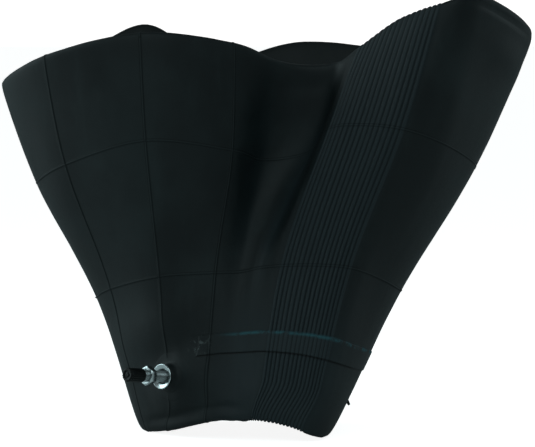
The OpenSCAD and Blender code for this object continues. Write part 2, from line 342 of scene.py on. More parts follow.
# Lengths off a mark at which the skin has points, so that the bead there keeps its shoulders
MARK_STEPS = np.array([-1.7, -0.8, -0.45, 0, 0.45, 0.8, 1.7]) * MM
RIBS_FROM = 6.0
RIBS_TO = 8.0
RIB_COUNT = 16
POINTS_A_RIB = 9
# Where the moulded meridians lean aside near the rim edge: turn, reach, height, turns of lean
SWEEPS = [(7.0, 2.0, 0.09, 0.35), (2.0, 0.9, 0.06, 0.30), (3.0, 0.9, 0.30, 0.07), (3.0, 0.9, 0.05, 0.08)]
TAPE_FROM = 2.72
TAPE_TO = 11.4
TAPE_LOW = 0.146
TAPE_HIGH = 0.19
# Half the turns over which the ribs and the tape's seam fade out at their ends
END_FADE = 0.02
# Turns between which the arches fade into the valley and out of it again
VALLEY_IN = (3.9, 4.3)
VALLEY_OUT_AGAIN = (5.4, 5.0)
# Share of half a rib's pitch that its groove takes, and between which its crown rises
GROOVE_SHARE = 0.36
CROWN_SHARES = (0.2, 0.9)
# The unevenness: waves of rubber in a metre, and puckers in a turn and over the height
WAVES_A_METRE = 14.0
PUCKERS_A_TURN = 1.7
PUCKERS_UP = 2.2


def with_marks(even, marks, clear):
    """Rows of place and length off it: even ones, and the ones that each mark needs."""
    kept = [(e, 0.0) for e in even if np.min(np.abs(marks - e)) > clear]
    close = [(mark, step) for mark in marks for step in MARK_STEPS]
    return np.array(sorted(kept + close))


def tube_columns():
    """Turns at which the skin has a column of points, closest together in the ribs."""
    fine = np.linspace(RIBS_FROM, RIBS_TO, RIB_COUNT * POINTS_A_RIB + 1)
    coarse = []
    for k in range(COLUMNS):
        length = np.linalg.norm(face_at(k + 1, 0.6) - face_at(k, 0.6))
        count = max(8, int(length / COLUMN_STEP))
        coarse.extend(k + np.arange(count) / count)
    coarse = [t for t in coarse if not RIBS_FROM - 0.001 < t < RIBS_TO + 0.001]
    return with_marks(np.sort(np.concatenate([coarse, fine])), MOULD_LINES, CLEAR_OF_LINE)


def tube_rows():
    """Angles around the section: closest at the rolled edges, widest on the inner wall."""
    dense = np.linspace(0, 2 * math.pi, 8001)
    line = skin_at(np.full(dense.shape, PLAIN_TURN), dense)
    gap = np.where(dense[1:] > math.pi, INNER_ROW_STEP, ROW_STEP)
    gap = np.where(np.abs(up_of(dense[1:]) - 0.5) > 0.5 - EDGE_HEIGHT, EDGE_ROW_STEP, gap)
    count = np.concatenate([[0], np.cumsum(np.linalg.norm(np.diff(line, axis=0), axis=1) / gap)])
    even = np.interp(np.arange(int(count[-1])), count, dense)
    return with_marks(even, np.arccos(1 - 2 * ARCHES), CLEAR_OF_ARCH)


def metres_a_turn(turn, up):
    span = face_at(turn + TURN_STEP, up) - face_at(turn - TURN_STEP, up)
    return np.linalg.norm(span, axis=-1) / (2 * TURN_STEP)


def metres_up(turn, up):
    span = face_at(turn, up + UP_STEP) - face_at(turn, up - UP_STEP)
    return np.linalg.norm(span, axis=-1) / (2 * UP_STEP)


def lattice(columns, rows):
    """Turn and angle of every point where the columns and rows cross."""
    turn, around = np.meshgrid(columns[:, 0], rows[:, 0], indexing="ij")
    up = up_of(around)
    steepness = np.maximum(np.sin(around), LEAST_SLOPE) / 2
    return (
        turn + columns[:, 1][:, None] / metres_a_turn(turn, up),
        around + rows[:, 1][None, :] / (metres_up(turn, up) * steepness),
    )


# Soft dents and swellings of the rubber: turn, up, reach in turns, reach up, height in mm
LOW_WRINKLES = [
    (1.25, 0.20, 0.55, 0.060, 2.2), (2.05, 0.235, 0.50, 0.045, 1.6), (5.2, 0.055, 0.6, 0.030, 2.2),
    (6.1, 0.030, 0.45, 0.022, 1.6), (2.2, 0.022, 0.8, 0.012, -6.0), (3.7, 0.022, 0.9, 0.012, -6.0),
]
VALLEY_FILLING = [
    (3.7, 0.50, 0.45, 0.16, -0.8), (4.5, 0.93, 0.9, 0.035, -2.2), (4.7, 0.31, 0.95, 0.15, 4.5),
    (5.15, 0.60, 0.50, 0.15, 4.0),
]
RIGHT_LIP = [
    (9.45, 0.984, 0.60, 0.009, -8.0), (9.75, 0.91, 0.5, 0.035, 2.2), (10.0, 0.995, 0.35, 0.02, 6.0),
]
LOBE_DENTS = [
    (8.9, 0.34, 0.5, 0.12, -2.0), (0.6, 0.55, 0.5, 0.20, 1.2), (2.6, 0.80, 0.5, 0.14, -1.5),
    (8.4, 0.62, 0.5, 0.20, -1.6),
]
BACK_DENTS = [
    (11.6, 0.70, 0.6, 0.16, -3.0), (13.1, 0.42, 0.8, 0.18, -2.5), (14.4, 0.75, 0.7, 0.13, 2.5),
    (12.4, 0.16, 0.7, 0.07, 2.0), (15.4, 0.28, 0.7, 0.12, -2.2), (16.2, 0.62, 0.6, 0.16, 1.8),
    (10.7, 0.24, 0.5, 0.10, -1.4), (13.6, 0.93, 0.8, 0.04, -2.0),
]
SWELLINGS = LOW_WRINKLES + VALLEY_FILLING + RIGHT_LIP + LOBE_DENTS + BACK_DENTS


def swelling_at(turn, up):
    """How far the soft swellings lift the outer wall."""
    total = np.zeros(np.broadcast(turn, up).shape)
    for place, level, reach, rise, height in SWELLINGS:
        apart = (turn - place + COLUMNS / 2) % COLUMNS - COLUMNS / 2
        total += height * MM * np.exp(-((apart / reach) ** 2) - ((up - level) / rise) ** 2)
    return total


def swept(turn, up):
    """The turn at which a moulded meridian really runs."""
    for place, reach, height, lean in SWEEPS:
        band = ease(2 - 2 * np.abs(turn - place) / reach)
        turn = turn - lean * band * ease((height - up) / height)
    return turn


def marked_skin(turn, around, lift):
    """Points, outward directions and the coordinates that the relief and colours follow."""
    up = up_of(around)
    spot = swept(turn, up)
    points = skin_at(spot, around)
    inner = around > math.pi
    outward = outward_at(spot, up)
    outward = np.where(inner[..., None], -outward, outward)
    edge = np.abs(np.sin(around)) ** ROLL_POWER
    tip = np.where(up < 0.5, -1.0, 1.0)
    above, below = np.clip(up + UP_STEP, 0, 1), np.clip(up - UP_STEP, 0, 1)
    over = unit(face_at(spot, above) - face_at(spot, below))
    direction = unit(outward * edge[..., None] + over * (tip * (1 - edge))[..., None])
    away = np.where(inner, 0, swelling_at(turn, up)) * edge
    points = points + direction * (away + lift)[..., None]
    line_away = np.min(np.abs(turn[..., None] - MOULD_LINES), axis=-1) * metres_a_turn(turn, up)
    arch_away = np.min(np.abs(up[..., None] - ARCHES), axis=-1) * metres_up(turn, up)
    return points, {
        "turn": turn, "up": up, "inner": inner.astype(float), "outward": direction,
        "line_away": line_away, "arch_away": arch_away,
    }


# ------------------------------------------------------------------ relief of the moulding
def relief_tree():
    """Geometry Nodes that press the vent ribs, mould lines and small unevenness into a skin."""
    tree = bpy.data.node_groups.new("moulding_relief", "GeometryNodeTree")
    tree.interface.new_socket("Geometry", in_out="INPUT", socket_type="NodeSocketGeometry")
    for label, default in (
        ("Groove depth", 0.75 * MM), ("Ribs", float(RIB_COUNT)), ("Rib crown", 0.22 * MM),
        ("Line height", 0.3 * MM), ("Line height at arches", 0.26 * MM),
        ("Unevenness", 0.9 * MM), ("Seed", 3.0),
    ):
        socket = tree.interface.new_socket(label, in_out="INPUT", socket_type="NodeSocketFloat")
        socket.default_value = default
    tree.interface.new_socket("Material", in_out="INPUT", socket_type="NodeSocketMaterial")
    tree.interface.new_socket("Geometry", in_out="OUTPUT", socket_type="NodeSocketGeometry")
    graph = Graph(tree)
    given = tree.nodes.new("NodeGroupInput")

    def asked(label):
        return Value(graph, given.outputs[label])

    turn, up, inner = graph.stored("turn"), graph.stored("up"), graph.stored("inner")
    in_band = turn.rises(RIBS_FROM - END_FADE, RIBS_FROM + END_FADE)
    in_band = in_band * turn.rises(RIBS_TO + END_FADE, RIBS_TO - END_FADE)
    phase = ((turn - RIBS_FROM) / (RIBS_TO - RIBS_FROM) * asked("Ribs") + 0.5).fraction()
    # 0 in the middle of a groove and 1 on the crown of a rib
    across = abs(phase - 0.5) * 2
    groove = across.rises(GROOVE_SHARE, 0.0) * in_band
    crown = across.rises(*CROWN_SHARES) * in_band
    line = graph.stored("line_away").rises(BEAD_FOOT, BEAD_TOP)
    arch = graph.stored("arch_away").rises(BEAD_FOOT, BEAD_TOP)
    # the arches are fainter in the valley and across the ribs
    off_valley = 1 - turn.rises(*VALLEY_IN) * turn.rises(*VALLEY_OUT_AGAIN)
    arch = arch * (0.35 + 0.65 * off_valley) * (1 - 0.5 * in_band)
    place = graph.node("GeometryNodeInputPosition")
    wander = graph.node(
        "ShaderNodeTexNoise", {"noise_dimensions": "4D"},
        {"Vector": place, "W": asked("Seed"), "Scale": WAVES_A_METRE, "Detail": 2.0, "Roughness": 0.45},
    ) - 0.5
    on_skin = graph.node(
        "ShaderNodeCombineXYZ", {}, {"X": turn * PUCKERS_A_TURN, "Y": up * PUCKERS_UP, "Z": inner * 7}
    )
    pucker = graph.node(
        "ShaderNodeTexNoise", {"noise_dimensions": "4D"},
        {"Vector": on_skin, "W": asked("Seed") + 5, "Scale": 1.0, "Detail": 3.0, "Roughness": 0.55},
    ) - 0.5
    height = (
        asked("Rib crown") * crown - asked("Groove depth") * groove
        + asked("Line height") * line + asked("Line height at arches") * arch
        + asked("Unevenness") * (wander * 1.6 + pucker * 1.6)
    )
    offset = graph.node(
        "ShaderNodeVectorMath", {"operation": "SCALE"},
        {0: graph.stored("outward", "FLOAT_VECTOR"), "Scale": height},
    )
    shaped = graph.node(
        "GeometryNodeSetPosition", {}, {"Geometry": asked("Geometry"), "Offset": offset}
    )
    for name, mask in (("groove", groove), ("rib", in_band)):
        shaped = graph.node(
            "GeometryNodeStoreNamedAttribute", {"data_type": "FLOAT", "domain": "POINT"},
            {"Geometry": shaped, "Name": name, "Value": mask},
        )
    whole = graph.node("GeometryNodeRealizeInstances", {}, {"Geometry": shaped})
    coated = graph.node(
        "GeometryNodeSetMaterial", {}, {"Geometry": whole, "Material": asked("Material")}
    )
    graph.node("NodeGroupOutput", {}, {0: coated})
    return tree


def shaped_by(tree, piece, **inputs):
    """Runs a Geometry Nodes tree on a piece and keeps the result as its plain mesh."""
    modifier = piece.modifiers.new(tree.name, "NODES")
    modifier.node_group = tree
    for item in tree.interface.items_tree:
        key = item.name.replace(" ", "_").lower()
        if item.in_out == "INPUT" and key in inputs:
            modifier[item.identifier] = inputs[key]
    bpy.context.view_layer.update()
    result = bpy.data.meshes.new_from_object(piece.evaluated_get(bpy.context.evaluated_depsgraph_get()))
    piece.modifiers.remove(modifier)
    piece.data = result
    result.shade_smooth()


# ------------------------------------------------------------------ finishes
BLACK_BUTYL = (0.0062, 0.0100, 0.0108)
TAPE_BLACK = (0.0070, 0.0112, 0.0122)
GREY_BLOOM = (0.020, 0.030, 0.031, 1)
PAINTED_LIGHT_TONE = (0.026, 0.039, 0.044, 1)
RIB_SHEEN = (0.021, 0.033, 0.038, 1)
GROOVE_SHADE = (0.002, 0.003, 0.003, 1)
INSIDE_SHADE = (0.003, 0.005, 0.005, 1)
BEAD_SHEEN = (0.024, 0.036, 0.038, 1)
FLANK_SHADE = (0.0015, 0.002, 0.002, 1)
SEAM_SHADE = (0.0012, 0.0016, 0.0016, 1)
BLUE_INK = (0.030, 0.118, 0.140, 1)
CHALK = (0.13, 0.155, 0.155, 1)
RECESS_SHADE = (0.022, 0.028, 0.028, 1)
NICKEL = (0.70, 0.76, 0.77)
DULL_NICKEL = (0.40, 0.45, 0.45)
# The ink stripe on the tape's upper edge, and how often it breaks up
STRIPE_UP = 0.1873
STRIPE_REACH = 0.0058
DASHES_A_TURN = 2.6
# The chalk at the tape's square end: its middle and its reach in turns and up
CHALK_TURN, CHALK_WIDE = 2.80, 0.36
CHALK_UP, CHALK_HIGH = 0.170, 0.036
# The shadow line under the tape's lower edge
SEAM_UP = TAPE_LOW - 0.0006
SEAM_REACH = 0.0042
# How strongly rubber and plastic shine
RUBBER_SHINE = 0.32
PLASTIC_SHINE = 0.3


def rubber_marks(graph, tint):
    """Colour, roughness and normal of moulded black rubber with dust, ink and chalk, and with painted
    light and shade: lighter ribs, bead tops, lower front and valley folds, darker grooves, bead flanks,
    tape seam and inner wall.
    """
    turn, up, inner = graph.attribute("turn"), graph.attribute("up"), graph.attribute("inner")
    groove, rib = graph.attribute("groove"), graph.attribute("rib")
    line_away, arch_away = graph.attribute("line_away"), graph.attribute("arch_away")
    # noise of four sizes in metres: clouds of bloom, specks, grain and rubbed streaks
    cloud = graph.noise(0.060, 3, 0.55)
    speck = graph.noise(0.0022, 2, 0.6)
    grain = graph.noise(0.00055, 2, 0.6)
    rub = graph.noise(0.018, 4, 0.65, stretch=(1, 1, 0.25))
    dust = cloud.rises(0.42, 0.75) * 0.55 + rub.rises(0.52, 0.8) * 0.45
    # painted highlight on the top of the mould lines and arches, and painted shade on their flanks
    bead = line_away.rises(0.0006, 0.0001).largest(arch_away.rises(0.0006, 0.0001))
    flank = line_away.near(0.0008, 0.0007).largest(arch_away.near(0.0008, 0.0007) * 0.8)
    colour = graph.blend(dust, (*tint, 1), GREY_BLOOM)
    # painted light: the front is lighter towards its bottom, as if more light fell there, streaked by the
    # rubbed noise
    painted_low_light = up.rises(0.36, 0.12) * turn.rises(2.7, 4.3) * turn.rises(9.2, 7.6) * (0.6 + 0.4 * rub)
    colour = graph.blend(painted_low_light * 0.65, colour, PAINTED_LIGHT_TONE)
    # painted light that lifts the shade in the folds of the valley
    painted_fold_light = turn.near(5.1, 0.65) * up.near(0.52, 0.34) + 0.55 * turn.near(3.65, 0.55) * up.near(0.60, 0.36)
    colour = graph.blend(painted_fold_light * 0.6, colour, PAINTED_LIGHT_TONE)
    colour = graph.blend(rib * 0.7, colour, RIB_SHEEN)
    colour = graph.blend(groove * 0.75, colour, GROOVE_SHADE)
    colour = graph.blend(inner * 0.65, colour, INSIDE_SHADE)
    colour = graph.blend(bead * 0.3, colour, BEAD_SHEEN)
    colour = graph.blend(flank * 0.62, colour, FLANK_SHADE)
    # the blue ink stripe along the tape's upper edge, which breaks up towards the right
    worn = graph.noise(0.006, 3, 0.7)
    dashes = (turn * DASHES_A_TURN).fraction()
    gap = 1 - turn.rises(8.05, 8.3) * dashes.rises(0.62, 0.72)
    stripe = up.near(STRIPE_UP, STRIPE_REACH) * turn.rises(3.05, 4.4) * turn.rises(10.6, 10.3) * gap
    stripe = stripe * worn.rises(0.34, 0.60)
    colour = graph.blend(stripe * 0.85, colour, BLUE_INK)
    # chalk strokes at the tape's square end
    strokes = graph.noise(0.0030, 4, 0.75, stretch=(1, 1, 0.7)).rises(0.54, 0.62)
    spot = turn.near(CHALK_TURN, CHALK_WIDE) * up.near(CHALK_UP, CHALK_HIGH)
    colour = graph.blend(strokes * spot * 0.6, colour, CHALK)
    # the shadow line where the tape's lower edge meets the wall
    seam = up.near(SEAM_UP, SEAM_REACH) * turn.rises(TAPE_FROM - END_FADE, TAPE_FROM + END_FADE)
    seam = seam * turn.rises(TAPE_TO + END_FADE, TAPE_TO - END_FADE)
    colour = graph.blend(seam * 0.85, colour, SEAM_SHADE)
    roughness = 0.54 + 0.14 * dust + 0.12 * (speck - 0.5) + 0.2 * stripe + 0.25 * flank
    normal = graph.bump(grain, 0.00006, 0.5, graph.bump(speck, 0.00015, 0.35))
    return {"Base Color": colour, "Roughness": roughness, "Normal": normal}


def metal_marks(colour, dull, streak, shade_radii=None):
    """Turned metal: fine tool marks, dull spots, and painted shade that darkens it towards the bore
    between two radii in mm.
    """
    def make(graph):
        tool = graph.noise(0.0008, 3, 0.6, stretch=streak)
        spot = graph.noise(0.004, 3, 0.6).rises(0.55, 0.8)
        shade = graph.blend(spot * 0.35, (*colour, 1), (*dull, 1))
        roughness = 0.16 + 0.08 * spot + 0.06 * tool
        # painted shade: darker towards the bore, in the washer's cup round the stem and in the stem's
        # thread roots
        if shade_radii:
            shaded_at, unshaded_at = shade_radii
            deep_shade = graph.attribute("radius").rises(unshaded_at, shaded_at) * (0.7 + 0.3 * tool)
            shade = graph.blend(deep_shade, shade, RECESS_SHADE)
            roughness = roughness + 0.3 * deep_shade
        return {"Base Color": shade, "Roughness": roughness, "Normal": graph.bump(tool, 0.00001, 0.15)}
    return make


def plain_marks(colour, worn_colour, grain_size, low, spread):
    """Moulded plastic or rubber: fine grain, worn patches and uneven gloss."""
    def make(graph):
        grain = graph.noise(grain_size, 3, 0.6)
        worn = graph.noise(0.003, 3, 0.6).rises(0.5, 0.8)
        return {
            "Base Color": graph.blend(worn * 0.7, (*colour, 1), (*worn_colour, 1)),
            "Roughness": low + spread * grain + 0.1 * worn,
            "Normal": graph.bump(grain, 0.00005, 0.5),
        }
    return make


butyl = material(
    "butyl", {"Specular IOR Level": RUBBER_SHINE}, lambda g: rubber_marks(g, BLACK_BUTYL)
)
tape_butyl = material(
    "tape_butyl", {"Specular IOR Level": RUBBER_SHINE}, lambda g: rubber_marks(g, TAPE_BLACK)
)
foot_butyl = material(
    "foot_butyl", {"Specular IOR Level": RUBBER_SHINE},
    plain_marks(BLACK_BUTYL, (0.018, 0.027, 0.028), grain_size=0.0006, low=0.45, spread=0.14),
)
nickel = material(
    "nickel", {"Metallic": 1.0}, metal_marks(NICKEL, DULL_NICKEL, streak=(1, 1, 6))
)
washer_nickel = material(
    "washer_nickel", {"Metallic": 1.0},
    metal_marks((0.74, 0.80, 0.81), (0.45, 0.5, 0.5), streak=(1, 1, 6), shade_radii=(4.7, 5.6)),
)
stem_nickel = material(
    "stem_nickel", {"Metallic": 1.0},
    metal_marks(NICKEL, DULL_NICKEL, streak=(1, 1, 6), shade_radii=(3.6, 3.86)),
)
brass = material(
    "brass", {"Metallic": 1.0},
    metal_marks((0.72, 0.55, 0.26), (0.38, 0.27, 0.12), streak=(6, 1, 1)),
)
steel = material(
    "spring_steel", {"Metallic": 1.0},
    metal_marks((0.52, 0.53, 0.54), (0.28, 0.28, 0.28), streak=(1, 4, 1)),
)
cap_plastic = material(
    "cap_plastic", {"Specular IOR Level": PLASTIC_SHINE},
    plain_marks((0.0015, 0.0025, 0.0025), (0.004, 0.006, 0.006), grain_size=0.0004, low=0.34, spread=0.12),
)
seal_rubber = material(
    "seal_rubber", {},
    plain_marks((0.34, 0.35, 0.33), (0.22, 0.22, 0.21), grain_size=0.0005, low=0.5, spread=0.15),
)
gasket_red = material(
    "gasket_red", {},
    plain_marks((0.40, 0.045, 0.03), (0.25, 0.03, 0.02), grain_size=0.0004, low=0.4, spread=0.15),
)

# ------------------------------------------------------------------ tube and tape
relief = relief_tree()


def add_tube():
    points, marks = marked_skin(*lattice(tube_columns(), tube_rows()), 0.0)
    piece = add_object("tube_ring", grid_mesh("tube_ring", points, True, marks))
    shaped_by(relief, piece, material=butyl)
    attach(piece, "tube")
    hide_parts("tube_body")


TAPE_PROUD = 0.75 * MM
TAPE_SUNK = 0.5 * MM
# The width, counted up, of the tape's rounded edges, and the rows of points between them
TAPE_RIM = 0.0016
TAPE_ROWS = 8


def add_tape():
    """The cured strip: a thin band on the outer wall with rolled edges and square ends."""
    columns = tube_columns()
    inside = columns[(columns[:, 0] > TAPE_FROM + 0.10) & (columns[:, 0] < TAPE_TO - 0.05)]
    tips = np.array([[0.0, 0], [0.012, 0], [0.04, 0]])
    start, stop = tips + [TAPE_FROM, 0], [TAPE_TO, 0] - tips[::-1]
    ups = np.concatenate([
        [TAPE_LOW, TAPE_LOW, TAPE_LOW + TAPE_RIM * 0.4, TAPE_LOW + TAPE_RIM],
        np.linspace(TAPE_LOW + 2.5 * TAPE_RIM, TAPE_HIGH - 2.5 * TAPE_RIM, TAPE_ROWS),
        [TAPE_HIGH - TAPE_RIM, TAPE_HIGH - TAPE_RIM * 0.4, TAPE_HIGH, TAPE_HIGH],
    ])
    rows = np.stack([np.arccos(1 - 2 * ups), np.zeros(len(ups))], -1)
    # -1 is sunk into the wall, 1 stands fully proud of it
    share = np.concatenate([[-1, 0.3, 0.85, 1], np.ones(TAPE_ROWS), [1, 0.85, 0.3, -1]])
    turn, around = lattice(np.concatenate([start, inside, stop]), rows)
    ends = np.ones(len(turn))
    ends[:3] = ends[-1:-4:-1] = (0.0, 0.55, 1.0)
    lift = np.where(share[None, :] < 0, -TAPE_SUNK, TAPE_PROUD * share[None, :] * ends[:, None])
    lift[[0, -1], :] = -TAPE_SUNK
    points, marks = marked_skin(turn, around, lift)
    mesh = grid_mesh("splice_strip", points, True, marks)
    piece = add_object("splice_strip", mesh)
    drop_wrap(mesh, *turn.shape)
    shaped_by(relief, piece, groove_depth=0.3 * MM, rib_crown=0.1 * MM, material=tape_butyl)
    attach(piece, "tube")
    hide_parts("splice_tape")


def drop_wrap(mesh, n, m):
    """Takes out the faces that join the last column to the first, and closes both ends."""
    work = bmesh.new()
    work.from_mesh(mesh)
    work.verts.ensure_lookup_table()
    last = set(range((n - 1) * m, n * m))
    wrap = [f for f in work.faces
            if any(v.index < m for v in f.verts) and any(v.index in last for v in f.verts)]
    bmesh.ops.delete(work, geom=wrap, context="FACES_ONLY")
    work.verts.ensure_lookup_table()
    work.faces.new([work.verts[j] for j in range(m)])
    work.faces.new([work.verts[j] for j in reversed(range((n - 1) * m, n * m))])
    bmesh.ops.recalc_face_normals(work, faces=work.faces)
    work.to_mesh(mesh)
    work.free()


add_tube()
add_tape()

# ------------------------------------------------------------------ valve, turned about its own axis
# Lengths in millimetres along the stem, from 0 at the wall
valve_frame = Matrix([
    [VALVE_SIDE[k] * MM, VALVE_OVER[k] * MM, VALVE_OUT[k] * MM, VALVE_AT[k]] for k in range(3)
] + [[0, 0, 0, 1]])


def rounded(outline, radius, steps=4):
    """An open outline with each inner corner replaced by a short curve."""
    points = [np.array(p, float) for p in outline]
    made = [points[0]]
    for before, corner, after in zip(points, points[1:], points[2:]):
        into, out = before - corner, after - corner
        reach = min(radius, 0.45 * np.linalg.norm(into), 0.45 * np.linalg.norm(out))
        start, stop = corner + unit(into) * reach, corner + unit(out) * reach
        for s in np.linspace(0, 1, steps):
            made.append((1 - s) ** 2 * start + 2 * s * (1 - s) * corner + s * s * stop)
    made.append(points[-1])
    return np.array(made)


def turned(name, outline_at, segments):
    """A solid turned about the stem's axis; outline_at gives the closed outline at each angle."""
    angles = np.linspace(0, 2 * math.pi, segments, endpoint=False)
    outlines = np.array([outline_at(a) for a in angles])
    points = np.stack([
        outlines[..., 0] * np.cos(angles)[:, None],
        outlines[..., 0] * np.sin(angles)[:, None],
        outlines[..., 1],
    ], -1)
    mesh = grid_mesh(name, points, True, {"radius": outlines[..., 0]})
    mesh.transform(valve_frame)
    piece = add_object(name, mesh)
    tidy_normals(mesh)
    return piece


def tidy_normals(mesh):
    """Joins doubled points, closes open ends and turns every face outward."""
    work = bmesh.new()
    work.from_mesh(mesh)
    bmesh.ops.remove_doubles(work, verts=work.verts, dist=1e-7)
    bmesh.ops.holes_fill(work, edges=work.edges)
    bmesh.ops.recalc_face_normals(work, faces=work.faces)
    work.to_mesh(mesh)
    work.free()
    mesh.shade_smooth()


def finish_piece(piece, body, node, finish):
    """Gives a piece its finish and its place in the frame."""
    piece.data.materials.clear()
    piece.data.materials.append(finish)
    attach(piece, body)
    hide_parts(node)


STEM_R = 3.85
STEM_BORE_R = 1.8
MOUTH_R = 2.65
STEM_FOOT = 3.2
STEM_TOP = 40.0
PITCH = 0.794
POINTS_A_PITCH = 8
THREAD_DEPTH = 0.43
# The bore of everything that runs on the stem
BORE_R = 3.93
PATCH_R = 17.0
BASE_TOP = 5.4


def beside_valve(x, y):
    """Turn and angle of the points of the skin that stand x and y off the stem's axis."""
    across = np.stack([VALVE_SIDE, VALVE_OVER], -1)

    def apart(turn, around):
        return (skin_at(swept(turn, up_of(around)), around) - VALVE_AT) @ across

    # Newton's steps, from a place on the skin close to the valve
    turn, around, step = np.full(x.shape, 1.95), np.full(x.shape, 0.75), 1e-4
    for _ in range(15):
        wrong = apart(turn, around) - np.stack([x, y], -1)
        a = (apart(turn + step, around) - apart(turn - step, around)) / (2 * step)
        b = (apart(turn, around + step) - apart(turn, around - step)) / (2 * step)
        size = a[..., 0] * b[..., 1] - a[..., 1] * b[..., 0]
        turn = turn - (wrong[..., 0] * b[..., 1] - wrong[..., 1] * b[..., 0]) / size
        around = around - (a[..., 0] * wrong[..., 1] - a[..., 1] * wrong[..., 0]) / size
    return turn, around


def add_patch():
    """The reinforcing patch: a ring that follows the skin and thins out to nothing."""
    outline = np.array([
        (PATCH_R + 0.6, -0.8), (PATCH_R + 0.5, -0.2), (PATCH_R - 0.2, 0.02), (15.2, 0.1), (13.4, 0.22),
        (11.6, 0.4), (10.2, 0.6), (9.0, 0.8), (8.3, 0.85), (8.1, 0.7), (8.1, -0.8), (12.5, -0.8),
    ]) * MM
    angles = np.linspace(0, 2 * math.pi, 96, endpoint=False)
    away = np.broadcast_to(outline[:, 0], (len(angles), len(outline)))
    lift = np.broadcast_to(outline[:, 1], away.shape)
    turn, around = beside_valve(away * np.cos(angles)[:, None], away * np.sin(angles)[:, None])
    points, marks = marked_skin(turn, around, lift)
    marks["line_away"] = np.ones(turn.shape)
    piece = add_object("patch_ring", grid_mesh("patch_ring", points, True, marks))
    tidy_normals(piece.data)
    shaped_by(relief, piece, material=butyl)
    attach(piece, "tube")
    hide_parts("valve_patch")


add_patch()
foot = turned("stem_foot", lambda a: rounded([
    (STEM_R, -0.9), (11.4, -0.9), (11.2, 0.4), (9.8, 0.95), (8.8, 1.8), (8.0, 3.2), (7.4, 4.8),
    (6.6, BASE_TOP), (STEM_R, BASE_TOP), (STEM_R, -0.9),
], 0.9), 128)
finish_piece(foot, "tube", "valve_base", foot_butyl)


def stem_outline(angle):
    """The stem's section, whose thread moves up by one pitch in a turn."""
    low, high = BASE_TOP + 0.6, STEM_TOP - 0.7
    count = int((high - low) / PITCH * POINTS_A_PITCH)
    z = np.linspace(low, high, count)
    phase = ((z - low) / PITCH - angle / (2 * math.pi)) % 1
    fade = np.clip(np.minimum(z - low, high - z) / PITCH, 0, 1)
    depth = THREAD_DEPTH * np.clip(np.abs(2 * phase - 1) * 1.25 - 0.12, 0, 1) * fade
    thread = np.stack([STEM_R - depth, z], -1)
    tail = [(STEM_BORE_R, STEM_FOOT), (STEM_R - 0.05, STEM_FOOT), (STEM_R - 0.05, low - 0.1)]
    lip = [
        (STEM_R - 0.1, STEM_TOP - 0.5), (STEM_R - 0.5, STEM_TOP), (MOUTH_R + 0.25, STEM_TOP),
        (MOUTH_R, STEM_TOP - 0.2), (MOUTH_R, STEM_TOP - 7.5), (2.05, STEM_TOP - 10.1),
        (STEM_BORE_R, STEM_TOP - 11.1), (STEM_BORE_R, STEM_FOOT),
    ]
    return np.concatenate([tail, thread, lip])


stem = turned("threaded_stem", stem_outline, 56)
finish_piece(stem, "tube", "valve_stem", stem_nickel)

WASHER_LOW = BASE_TOP + 0.02
washer = turned("dished_washer", lambda a: rounded([
    (BORE_R, WASHER_LOW + 0.6), (BORE_R, WASHER_LOW), (5.6, WASHER_LOW), (6.9, WASHER_LOW + 1.9),
    (8.3, WASHER_LOW + 2.6), (8.75, WASHER_LOW + 3.0), (8.75, WASHER_LOW + 3.45), (8.35, WASHER_LOW + 3.8),
    (7.8, WASHER_LOW + 3.7), (6.1, WASHER_LOW + 3.4), (5.3, WASHER_LOW + 2.9), (4.6, WASHER_LOW + 1.2),
    (BORE_R, WASHER_LOW + 1.1), (BORE_R, WASHER_LOW + 0.6),
], 0.5), 128)
finish_piece(washer, "washer", "bridge_washer", washer_nickel)

NUT_LOW = 19.6
NUT_H = 5.0
NUT_AF = 12.0
NUT_CORNER_R = 6.86
NUT_FACE_R = 5.75
NUT_BEVEL = 0.35


def nut_outline(angle):
    """The nut's section: six flats, with the corners turned off at both ends."""
    sector = (angle + math.pi / 6) % (math.pi / 3) - math.pi / 6
    flat = min(NUT_AF / 2 / math.cos(sector), NUT_CORNER_R)
    rise = max(0.05, (flat - NUT_FACE_R) * 0.55)
    middle, top = NUT_LOW + NUT_H / 2, NUT_LOW + NUT_H
    return rounded([
        (BORE_R, middle), (BORE_R, NUT_LOW + NUT_BEVEL), (BORE_R + NUT_BEVEL, NUT_LOW),
        (NUT_FACE_R, NUT_LOW), (flat, NUT_LOW + rise), (flat, top - rise), (NUT_FACE_R, top),
        (BORE_R + NUT_BEVEL, top), (BORE_R, top - NUT_BEVEL), (BORE_R, middle),
    ], 0.14, 3)


nut = turned("hex_nut", nut_outline, 180)
finish_piece(nut, "nut", "rim_nut", nickel)

CAP_LOW = 28.5
CAP_TOP = 43.0
CAP_R = 4.8
CAP_ROOF = STEM_TOP + 1.0
FLUTES = 16


